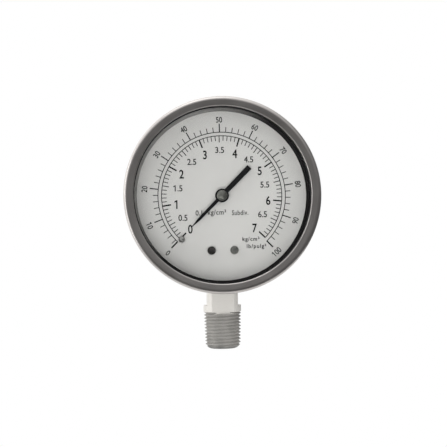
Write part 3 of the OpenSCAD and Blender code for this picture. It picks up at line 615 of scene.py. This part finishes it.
zero_angle = 225
full_angle = -45
full_scale = 7
full_scale_pounds = 100
short_start = 3.1
degrees_per_unit = (zero_angle - full_angle + short_start) / full_scale
pounds_per_unit = 14.2233
whole_figure = (2.6 * mm, 4.8 * mm)
half_figure = (5 * mm, 3.4 * mm)
figures_clear_of_marks = 27.1 * mm
outer_figures_height = 3.2 * mm
outer_figures_radius = 42.9 * mm
outer_figures_down = 0.7 * mm
whole_figures_down = 0.4 * mm
figure_share_of_size = 0.72
flag_reach = 0.24
flag_lap = 0.02
flag_thick = 0.16
flag_drop = 0.14


def angle_of(value):
    """Where a value stands on the dial. The first interval is a little short, as on real gauges."""
    return zero_angle if value == 0 else full_angle + (full_scale - value) * degrees_per_unit


def print_words(words, height, x, up, turn=0, narrow=0.82, bold=0.0, spacing=1.0):
    """Prints words centred at a place on the dial, with figures of this height and strokes made bolder."""
    bpy.ops.object.text_add(location=(0, 0, 0))
    letters = bpy.context.object
    letters.data.body = words
    letters.data.align_x = "CENTER"
    letters.data.align_y = "CENTER"
    letters.data.size = height / figure_share_of_size
    # the font's own offset would spoil the small openings of a 4 or a g
    tight = "4" in words or "g" in words
    letters.data.offset = 0 if tight else bold
    letters.data.space_character = spacing
    letters.data.resolution_u = 4
    letters.data.extrude = ink / 2
    bpy.ops.object.convert(target="MESH")
    letters = bpy.context.object
    if words.startswith("1"):
        # the font's 1 is a bare stroke, so it gets a flag that slopes down to the left
        left = min(v.co.x for v in letters.data.vertices)
        top = max(v.co.y for v in letters.data.vertices)
        flag = box_tool((left - flag_reach * height, top - flag_thick * height, -ink / 2),
                        (left + flag_lap * height, top, ink / 2))
        edit(flag, lambda co: co.x < left)
        bpy.ops.transform.translate(value=(0, -flag_drop * height, 0))
        close_edit()
        letters.select_set(True)
        bpy.context.view_layer.objects.active = letters
        bpy.ops.object.join()
    low = [min(v.co[i] for v in letters.data.vertices) for i in (0, 1)]
    high = [max(v.co[i] for v in letters.data.vertices) for i in (0, 1)]
    for vertex in letters.data.vertices:
        vertex.co.x = (vertex.co.x - (low[0] + high[0]) / 2) * narrow
        vertex.co.y -= (low[1] + high[1]) / 2
    letters.rotation_euler = (math.pi / 2, 0, 0)
    if turn:
        letters.rotation_mode = "QUATERNION"
        flat = Vector((0, 0, 1)).rotation_difference(Vector((0, -1, 0)))
        spin = Vector((1, 0, 0)).rotation_difference(
            Vector((math.cos(math.radians(turn)), 0, math.sin(math.radians(turn)))))
        letters.rotation_quaternion = spin @ flat
    letters.location = on_dial(x, up, dial_front + ink / 2)
    printed = settle(letters, "print_" + words)
    if tight:
        widen_print(printed, bold)
    return printed


def gather_print(name, parts):
    deselect()
    for part in parts:
        part.select_set(True)
    bpy.context.view_layer.objects.active = parts[0]
    bpy.ops.object.join()
    joined = settle(parts[0], name)
    give(joined, print_ink)
    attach(joined, "root")


inner_figures = []
for half in range(2 * full_scale + 1):
    whole = half % 2 == 0
    value = half / 2
    angle = math.radians(angle_of(value))
    width, height = whole_figure if whole else half_figure
    reach = figures_clear_of_marks - math.hypot(width / 2 * math.cos(angle), height / 2 * math.sin(angle))
    down = whole_figures_down if whole else 0
    inner_figures.append(print_words(
        str(int(value)) if whole else str(value), height,
        reach * math.cos(angle), reach * math.sin(angle) - down,
        narrow=0.8 if whole else 0.92, bold=0.12 * mm if whole else 0.06 * mm))
gather_print("inner_figures", inner_figures)

outer_figures = []
for pounds in range(0, full_scale_pounds + 1, 10):
    angle = angle_of(pounds / pounds_per_unit)
    tops_outward = 20 <= pounds <= 80
    outer_figures.append(print_words(
        str(pounds), outer_figures_height, outer_figures_radius * math.cos(math.radians(angle)),
        outer_figures_radius * math.sin(math.radians(angle)) - outer_figures_down,
        turn=angle - 90 if tops_outward else angle + 90, bold=0.06 * mm))
gather_print("outer_figures", outer_figures)

gather_print("unit_words", [
    print_words("0.1", 2.9 * mm, -12.9 * mm, -9.3 * mm, narrow=0.9, bold=0.05 * mm),
    print_words("kg/cm²", 2.8 * mm, -2.85 * mm, -9.5 * mm, narrow=0.9, bold=0.05 * mm, spacing=1.1),
    print_words("Subdiv.", 2.8 * mm, 9.9 * mm, -9.5 * mm, narrow=0.76, bold=0.05 * mm, spacing=1.1),
    print_words("kg/cm²", 2.2 * mm, 15.6 * mm, -24.5 * mm, narrow=0.98, bold=0.06 * mm, spacing=1.2),
    print_words("lb/pulg²", 2.2 * mm, 18.6 * mm, -28.5 * mm, narrow=0.98, bold=0.06 * mm, spacing=1.2)])


# Dial screws: two slotted cheese-head screws of plain steel that hold the
# dial on its posts, the left one coloured darker than the right.
screw_x = 6.3 * mm
screw_down = 30.2 * mm
screw_head_radius = 2.3 * mm
screw_head = 1.2 * mm
screw_shank_radius = 1.25 * mm
screw_shank = 5 * mm
slot_width = 0.7 * mm
slot_depth = 0.6 * mm
slot_reach = 3 * mm
slot_turn = 35
dark_steel = new_finish("darker_screw_steel", metallic=1.0, roughness=0.4)
dark_place = place_of(dark_steel)
dark_grain = noise(dark_steel, stretched(dark_steel, dark_place, (900, 900, 900)), detail=4)
set_input(dark_steel, "Base Color", color_by(
    dark_steel, dark_grain, [(0.3, (0.026, 0.024, 0.023)), (0.75, (0.088, 0.081, 0.078))]))
set_input(dark_steel, "Roughness", range_by(dark_steel, dark_grain, 0.35, 0.5))
set_relief(dark_steel, dark_grain, 0.02 * mm, 0.4)
dull_steel = new_finish("dull_steel", metallic=1.0, roughness=0.5)
dull_place = place_of(dull_steel)
dull_grain = noise(dull_steel, stretched(dull_steel, dull_place, (1200, 1200, 1200)), detail=3)
set_input(dull_steel, "Base Color", color_by(
    dull_steel, dull_grain, [(0.3, (0.22, 0.22, 0.205)), (0.7, (0.35, 0.345, 0.325))]))
set_input(dull_steel, "Roughness", range_by(dull_steel, dull_grain, 0.45, 0.6))
set_relief(dull_steel, dull_grain, 0.015 * mm, 0.4)
for side, name, finish in ((-1, "dial_screw_left", dark_steel), (1, "dial_screw_right", dull_steel)):
    screw = turn_on_dial(name, [
        (0, dial_front - screw_shank), (screw_shank_radius, dial_front - screw_shank),
        (screw_shank_radius, dial_front), (screw_head_radius, dial_front),
        (screw_head_radius, dial_front + screw_head), (0, dial_front + screw_head)],
        [(4, 0.35 * mm)], 64)
    edit(screw)
    bpy.ops.transform.translate(value=(side * screw_x, 0, -screw_down))
    close_edit()
    slot = box_tool((-slot_reach, -slot_depth, -slot_width / 2), (slot_reach, slot_depth, slot_width / 2))
    slot.rotation_euler = (0, math.radians(-side * slot_turn), 0)
    slot.location = on_dial(side * screw_x, -screw_down, dial_front + screw_head)
    carve(screw, settle(slot, "tool"))
    soften(screw, 0.06 * mm, angle=50)
    give(screw, finish)
    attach(screw, "root")
    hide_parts("dial_screws")


# Stop pin: turned steel pin with a ball head, riveted in the dial just below
# the zero mark.
pin_radius = 0.7 * mm
pin_neck = 0.4 * mm
pin_head_radius = 1.75 * mm
pin_distance = 32.9 * mm
pin_below_zero = 1.4
pin_angle = math.radians(zero_angle + pin_below_zero)
ball_centre = dial_front + pin_neck + pin_head_radius
ball = [(pin_head_radius * math.cos(turn), ball_centre + pin_head_radius * math.sin(turn))
        for turn in map(math.radians, range(-60, 90, 10))]
stop_pin = turn_on_dial("stop_pin_ball", [
    (0, dial_front - mm), (pin_radius, dial_front - mm), (pin_radius, dial_front + pin_neck + 0.1 * mm)]
    + ball + [(0, ball_centre + pin_head_radius)], steps=48)
edit(stop_pin)
bpy.ops.transform.translate(value=(pin_distance * math.cos(pin_angle), 0, pin_distance * math.sin(pin_angle)))
close_edit()
smooth(stop_pin, 60)
give(stop_pin, small_steel)
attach(stop_pin, "root")
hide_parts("stop_pin")


# Pointer: blanked from thin aluminium and sprayed black, a sharp blade and a
# broad tail that balances it, on a hub with a domed turned cap.
pointer_front = 20.8 * mm
pointer_back = 20.3 * mm
blade_length = 23.8 * mm
blade_point = 6 * mm
blade_root = 2.1 * mm
blade_waist = 1.6 * mm
blade_tip = 0.4 * mm
tail_length = 21.9 * mm
tail_width = 3.1 * mm
tail_root = 2.6 * mm
boss_radius = 3.8 * mm
hub_radius = 1.8 * mm
thick = pointer_front - pointer_back
bpy.ops.mesh.primitive_cylinder_add(vertices=96, radius=boss_radius, depth=thick)
pointer = settle(bpy.context.object, "pointer_blade")


def wedge(start, end, start_width, end_width, depth):
    """A flat tapering blade along X: a bar that is narrowed at its end."""
    bpy.ops.mesh.primitive_cube_add(size=1, location=((start + end) / 2, 0, 0))
    blade = bpy.context.object
    blade.scale = (abs(end - start), start_width, depth)
    settle(blade, "tool")
    edit(blade, lambda co: abs(co.x - end) < 0.01 * mm)
    bpy.ops.transform.resize(value=(1, end_width / start_width, 1), center_override=(end, 0, 0))
    close_edit()
    return blade


carve(pointer, wedge(0, blade_length - blade_point, blade_root, blade_waist, thick), "UNION")
carve(pointer, wedge(blade_length - blade_point, blade_length, blade_waist, blade_tip, thick), "UNION")
carve(pointer, wedge(0, -tail_length, tail_root, tail_width, thick), "UNION")
carve(pointer, rod_tool(hub_radius, (0, 0, -mm), (0, 0, mm)))
soften(pointer, 0.08 * mm, angle=40)
edit(pointer)
bpy.ops.transform.rotate(value=math.radians(-zero_angle), orient_axis="Z", center_override=(0, 0, 0))
bpy.ops.transform.rotate(value=math.radians(-90), orient_axis="X", center_override=(0, 0, 0))
bpy.ops.transform.translate(value=on_dial(0, 0, (pointer_front + pointer_back) / 2))
close_edit()
black_paint = new_finish("pointer_paint", roughness=0.5, specular=0.02)
black_place = place_of(black_paint)
black_grain = noise(black_paint, stretched(black_paint, black_place, (900, 900, 900)), detail=3)
set_input(black_paint, "Base Color", color_by(
    black_paint, black_grain, [(0.3, (0.0015, 0.0015, 0.002)), (0.75, (0.004, 0.004, 0.005))]))
set_input(black_paint, "Roughness", range_by(black_paint, black_grain, 0.44, 0.56))
set_relief(black_paint, black_grain, 0.006 * mm, 0.3)
give(pointer, black_paint)
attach(pointer, "pointer")
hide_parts("pointer")

cap_radius = 2.9 * mm
cap_rim = 0.5 * mm
dome_radius = 5 * mm
hub_bore_radius = 1 * mm
hub_back = pointer_back - 0.6 * mm
dome_centre = pointer_front + cap_rim - math.sqrt(dome_radius ** 2 - cap_radius ** 2)
dome = [(radius, dome_centre + math.sqrt(dome_radius ** 2 - radius ** 2))
        for radius in [cap_radius * math.cos(math.radians(turn)) for turn in range(0, 90, 9)]]
cap = turn_on_dial("pointer_cap", [
    (0, pointer_front), (hub_bore_radius, pointer_front), (hub_bore_radius, hub_back), (hub_radius, hub_back),
    (hub_radius, pointer_front), (cap_radius, pointer_front)]
    + dome + [(0, dome_centre + dome_radius)], [(6, 0.12 * mm)], 96)
smooth(cap, 30)
cap_finish = new_finish("turned_cap", metallic=1.0, roughness=0.4)
cap_place = place_of(cap_finish)
cap_marks = noise(cap_finish, round_the(cap_finish, cap_place, "Y", dial_height, 12000, 2), detail=3)
set_input(cap_finish, "Base Color", color_by(
    cap_finish, cap_marks, [(0.3, (0.175, 0.175, 0.155)), (0.7, (0.24, 0.24, 0.22))]))
set_input(cap_finish, "Roughness", range_by(cap_finish, cap_marks, 0.34, 0.5))
set_relief(cap_finish, cap_marks, 0.01 * mm, 0.3)
give(cap, cap_finish)
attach(cap, "pointer")
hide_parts("pointer_hub")


# Spacer ring: a cone of satin dark metal strip between the dial and the
# glass. It presses the dial down and shows as the wall round the dial.
spacer_show = 46.9 * mm
spacer_foot = 48.2 * mm
spacer_sheet = 0.6 * mm
spacer_top = 48.15 * mm
glass_back = 23.6 * mm
spacer = turn_on_dial("spacer_cone", [
    (spacer_show, dial_front), (spacer_foot, dial_front), (spacer_foot, dial_front + spacer_sheet),
    (spacer_show + 2 * spacer_sheet, dial_front + spacer_sheet), (spacer_top + spacer_sheet, glass_back),
    (spacer_top, glass_back), (spacer_show, dial_front)])
smooth(spacer)
wall_finish = new_finish("satin_dark_strip", roughness=0.6, specular=0.0)
wall_place = place_of(wall_finish)
wall_marks = noise(wall_finish, round_the(wall_finish, wall_place, "Y", dial_height, 5000, 3), detail=3)
wall_parts = add_node(wall_finish, "ShaderNodeSeparateXYZ")
link_nodes(wall_finish, wall_place, wall_parts.inputs[0])
wall_up = math_node(wall_finish, "SUBTRACT", wall_parts.outputs[2], dial_height)
# painted sheen: the strip's colour grows paler towards its upper left part, standing in for the light it
# catches there; the turning marks add a little real tone
wall_left = math_node(wall_finish, "SUBTRACT", math_node(wall_finish, "MULTIPLY", wall_up, 0.8),
                      wall_parts.outputs[0])
wall_sheen_and_marks = math_node(wall_finish, "ADD", math_node(wall_finish, "MULTIPLY", wall_left, 1 / (60 * mm)),
                      math_node(wall_finish, "MULTIPLY", wall_marks, 0.3))
set_input(wall_finish, "Base Color", color_by(
    wall_finish, wall_sheen_and_marks, [(0.25, (0.005, 0.004, 0.004)), (1.0, (0.3, 0.29, 0.28))]))
set_input(wall_finish, "Roughness", range_by(wall_finish, wall_marks, 0.5, 0.7))
set_relief(wall_finish, wall_marks, 0.01 * mm, 0.3)
give(spacer, wall_finish)
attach(spacer, "root")
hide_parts("spacer_ring")


# Window and gasket: a flat disc of instrument glass in a black rubber channel
# that is squeezed between the case's flange and the ring's lip.
give(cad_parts["window_gasket"], rubber)
glass = new_finish("instrument_glass", roughness=0.02, specular=0.5)
glass_shader = glass.node_tree.nodes["Principled BSDF"]
glass_shader.inputs["Transmission Weight"].default_value = 1.0
glass_shader.inputs["IOR"].default_value = 1.5
glass_place = place_of(glass)
glass_dust = noise(glass, stretched(glass, glass_place, (300, 300, 300)), detail=4)
set_input(glass, "Base Color", color_by(
    glass, glass_dust, [(0.3, (0.96, 0.975, 0.97)), (0.8, (0.985, 0.99, 0.985))]))
set_input(glass, "Roughness", range_by(glass, glass_dust, 0.0, 0.02))
# lamplight passes straight through to the dial
lamp_rays = add_node(glass, "ShaderNodeLightPath").outputs["Is Shadow Ray"]
let_through = add_node(glass, "ShaderNodeBsdfTransparent")
let_through.inputs["Color"].default_value = (0.94, 0.95, 0.945, 1)
glass_mix = add_node(glass, "ShaderNodeMixShader")
link_nodes(glass, lamp_rays, glass_mix.inputs[0])
link_nodes(glass, glass_shader.outputs[0], glass_mix.inputs[1])
link_nodes(glass, let_through.outputs[0], glass_mix.inputs[2])
link_nodes(glass, glass_mix.outputs[0], glass.node_tree.nodes["Material Output"].inputs["Surface"])
give(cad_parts["window"], glass)


# Bezel ring: spun from stainless sheet, its rounded lip turned in on the seal
# and its skirt crimped behind the case's flange. The face is brushed in
# circles.
ring_front = 31 * mm
ring_sheet = 1 * mm
ring_inner = 53 * mm
ring_outer = 54 * mm
ring_corner = 2.4 * mm
ring_slope = 0.5 * mm
lip_radius = 48.5 * mm
lip_back = 27.6 * mm
lip_round = 0.5 * mm
lip_end_round = 0.25 * mm
bend_inside = 1.5 * mm
foot_corner = 1.1 * mm
foot_inside = 0.2 * mm
ring_back = 19.6 * mm
crimp_radius = 51.4 * mm
face_at_lip = ring_front - ring_slope
lip_outer = lip_radius + ring_sheet
ring = turn_on_dial("ring_steel_shell", [
    (crimp_radius, ring_back), (ring_outer, ring_back), (ring_outer, ring_front), (lip_radius, face_at_lip),
    (lip_radius, lip_back), (lip_outer, lip_back), (lip_outer, face_at_lip - ring_sheet),
    (ring_inner, ring_front - ring_sheet), (ring_inner, flange_back), (crimp_radius, flange_back),
    (crimp_radius, ring_back)],
    [(1, foot_corner), (2, ring_corner), (3, lip_round), (4, lip_end_round), (7, bend_inside),
     (8, foot_inside)], 256)
# the broad face stays evenly flat in its shading, and the bends turn softly
smooth(ring, 30)
finish_modifier(ring, "WEIGHTED_NORMAL", keep_sharp=True)
ring_finish = new_finish("spun_ring_steel", metallic=1.0, roughness=0.33)
ring_place = place_of(ring_finish)
ring_marks = noise(ring_finish, round_the(ring_finish, ring_place, "Y", dial_height, 9000, 3),
                   detail=5, rough=0.6)
ring_clouds = noise(ring_finish, stretched(ring_finish, ring_place, (60, 60, 60)), detail=2)
ring_tone = blend_patterns(ring_finish, ring_marks, 0.6, ring_clouds)
set_input(ring_finish, "Base Color", color_by(
    ring_finish, ring_tone, [(0.3, (0.45, 0.425, 0.41)), (0.7, (0.62, 0.595, 0.575))]))
set_input(ring_finish, "Roughness", range_by(ring_finish, ring_tone, 0.26, 0.38))
set_relief(ring_finish, ring_marks, 0.012 * mm, 0.5)
give(ring, ring_finish)
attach(ring, "root")
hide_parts("bezel_ring")


# Studio: a pale floor well below, a surround that looks white and mirrors as
# pale parts above, to the left and behind, soft lamps from above, the left and
# the front, and the camera at the photograph's angle.
floor_depth = -320 * mm
floor_back = 450 * mm
floor_radius = 750 * mm
bpy.ops.mesh.primitive_circle_add(vertices=64, radius=floor_radius, fill_type="NGON",
                                  location=(0, floor_back, floor_depth))
floor = settle(bpy.context.object, "floor")
floor_finish = bpy.data.materials.new("floor_white")
floor_finish.use_nodes = True
floor_nodes = floor_finish.node_tree.nodes
floor_shader = floor_nodes["Principled BSDF"]
floor_shader.inputs["Base Color"].default_value = (0.82, 0.82, 0.82, 1)
floor_shader.inputs["Roughness"].default_value = 0.9
white = floor_nodes.new("ShaderNodeEmission")
white.inputs["Strength"].default_value = 1.0
seen = floor_nodes.new("ShaderNodeLightPath").outputs
either = math_node(floor_finish, "MAXIMUM", seen["Is Camera Ray"], seen["Is Transmission Ray"])
any_view = math_node(floor_finish, "MAXIMUM", either, seen["Is Glossy Ray"])
floor_mix = floor_nodes.new("ShaderNodeMixShader")
link_nodes(floor_finish, any_view, floor_mix.inputs[0])
link_nodes(floor_finish, floor_shader.outputs[0], floor_mix.inputs[1])
link_nodes(floor_finish, white.outputs[0], floor_mix.inputs[2])
link_nodes(floor_finish, floor_mix.outputs[0], floor_nodes["Material Output"].inputs["Surface"])
give(floor, floor_finish)

world = bpy.data.worlds.new("studio_surround")
bpy.context.scene.world = world
world.use_nodes = True


def world_node(kind, **inputs):
    made = world.node_tree.nodes.new(kind)
    for name, value in inputs.items():
        socket = made.inputs[name.replace("_", " ")]
        if isinstance(value, bpy.types.NodeSocket):
            world.node_tree.links.new(value, socket)
        else:
            socket.default_value = value
    return made


def world_math(operation, first, second):
    made = world.node_tree.nodes.new("ShaderNodeMath")
    made.operation = operation
    for socket, value in zip(made.inputs, (first, second)):
        if isinstance(value, bpy.types.NodeSocket):
            world.node_tree.links.new(value, socket)
        else:
            socket.default_value = value
    return made.outputs[0]


def toward(source, start, end, level):
    """A soft patch of light that grows as a direction's component goes from start to end."""
    patch = world_node("ShaderNodeMapRange", Value=source, From_Min=start, From_Max=end, To_Min=0.0,
                       To_Max=level)
    patch.interpolation_type = "SMOOTHSTEP"
    return patch.outputs[0]


# what metal mirrors: pale above except at the far right, pale at the left, and pale behind at the left
dimmest = 0.12
direction = world_node("ShaderNodeTexCoord").outputs["Generated"]
to_x, to_y, to_z = world_node("ShaderNodeSeparateXYZ", Vector=direction).outputs
above = world_math("MULTIPLY", toward(to_z, 0.15, 0.8, 0.9), toward(to_x, 0.8, 0.4, 1.0))
upper_half = toward(to_z, 0.0, 0.2, 0.11)
at_left = toward(to_x, -0.5, -0.95, 1.0)
behind = world_math("MULTIPLY", toward(to_y, 0.2, 0.9, 1.15), toward(to_x, 0.3, -0.1, 1.0))
reflected = world_math("ADD", world_math("ADD", above, upper_half), at_left)
reflected = world_math("ADD", reflected, world_math("ADD", behind, dimmest))

# white to the camera, also through the glass, and an even level for the light on the object
even_level = 0.55
paths = world_node("ShaderNodeLightPath").outputs
mirrored_before = world_math("GREATER_THAN", paths["Glossy Depth"], 0.5)
mirrored = world_math("MAXIMUM", paths["Is Glossy Ray"], mirrored_before)
through_glass = world_math("SUBTRACT", paths["Is Transmission Ray"], mirrored_before)
seen_white = world_math("MAXIMUM", paths["Is Camera Ray"], through_glass)
softened = world_node("ShaderNodeMix", Factor=mirrored, A=even_level, B=reflected)
level = world_node("ShaderNodeMix", Factor=seen_white, A=softened.outputs["Result"], B=1.0)
surround = world.node_tree.nodes["Background"]
surround.inputs["Color"].default_value = (1, 1, 1, 1)
world.node_tree.links.new(level.outputs["Result"], surround.inputs["Strength"])

for name, place, width, height, power, shows_in_metal in (
        ("lamp_above", (-0.15, -0.3, 0.95), 0.6, 0.6, 1.3, True),
        ("lamp_left", (-0.9, -0.32, 0.1), 0.16, 0.9, 1.2, True),
        ("lamp_low", (-0.25, -0.9, -0.3), 0.9, 0.6, 2.9, False)):
    lamp_data = bpy.data.lights.new(name, "AREA")
    lamp_data.shape = "RECTANGLE"
    lamp_data.size = width
    lamp_data.size_y = height
    lamp_data.energy = power
    lamp = bpy.data.objects.new(name, lamp_data)
    bpy.context.scene.collection.objects.link(lamp)
    lamp.location = place
    lamp.visible_glossy = shows_in_metal
    to_dial = Vector((0, 0, dial_height)) - Vector(place)
    lamp.rotation_euler = to_dial.to_track_quat("-Z", "Y").to_euler()

# the camera stands these angles to the left of the dial's axis and below it, and is rolled a little
camera_distance = 560 * mm
camera_left = math.radians(3.32)
camera_low = math.radians(2.2)
camera_roll = math.radians(1.21)
camera_aim = Vector((0.55 * mm, -20 * mm, 70.1 * mm))
camera_data = bpy.data.cameras.new("photo_camera")
camera_data.lens = 81.72
camera_data.sensor_width = 36
camera_data.clip_start = 0.05
camera = bpy.data.objects.new("photo_camera", camera_data)
bpy.context.scene.collection.objects.link(camera)
back = Vector((-math.sin(camera_left) * math.cos(camera_low), -math.cos(camera_left) * math.cos(camera_low),
               -math.sin(camera_low)))
camera.location = camera_aim + back * camera_distance
camera.rotation_mode = "QUATERNION"
aimed = (-back).to_track_quat("-Z", "Y")
rolled_right = Vector((math.cos(camera_roll), -math.sin(camera_roll), 0))
camera.rotation_quaternion = aimed @ Vector((1, 0, 0)).rotation_difference(rolled_right)
bpy.context.scene.camera = camera
bpy.context.scene.view_settings.view_transform = "Standard"
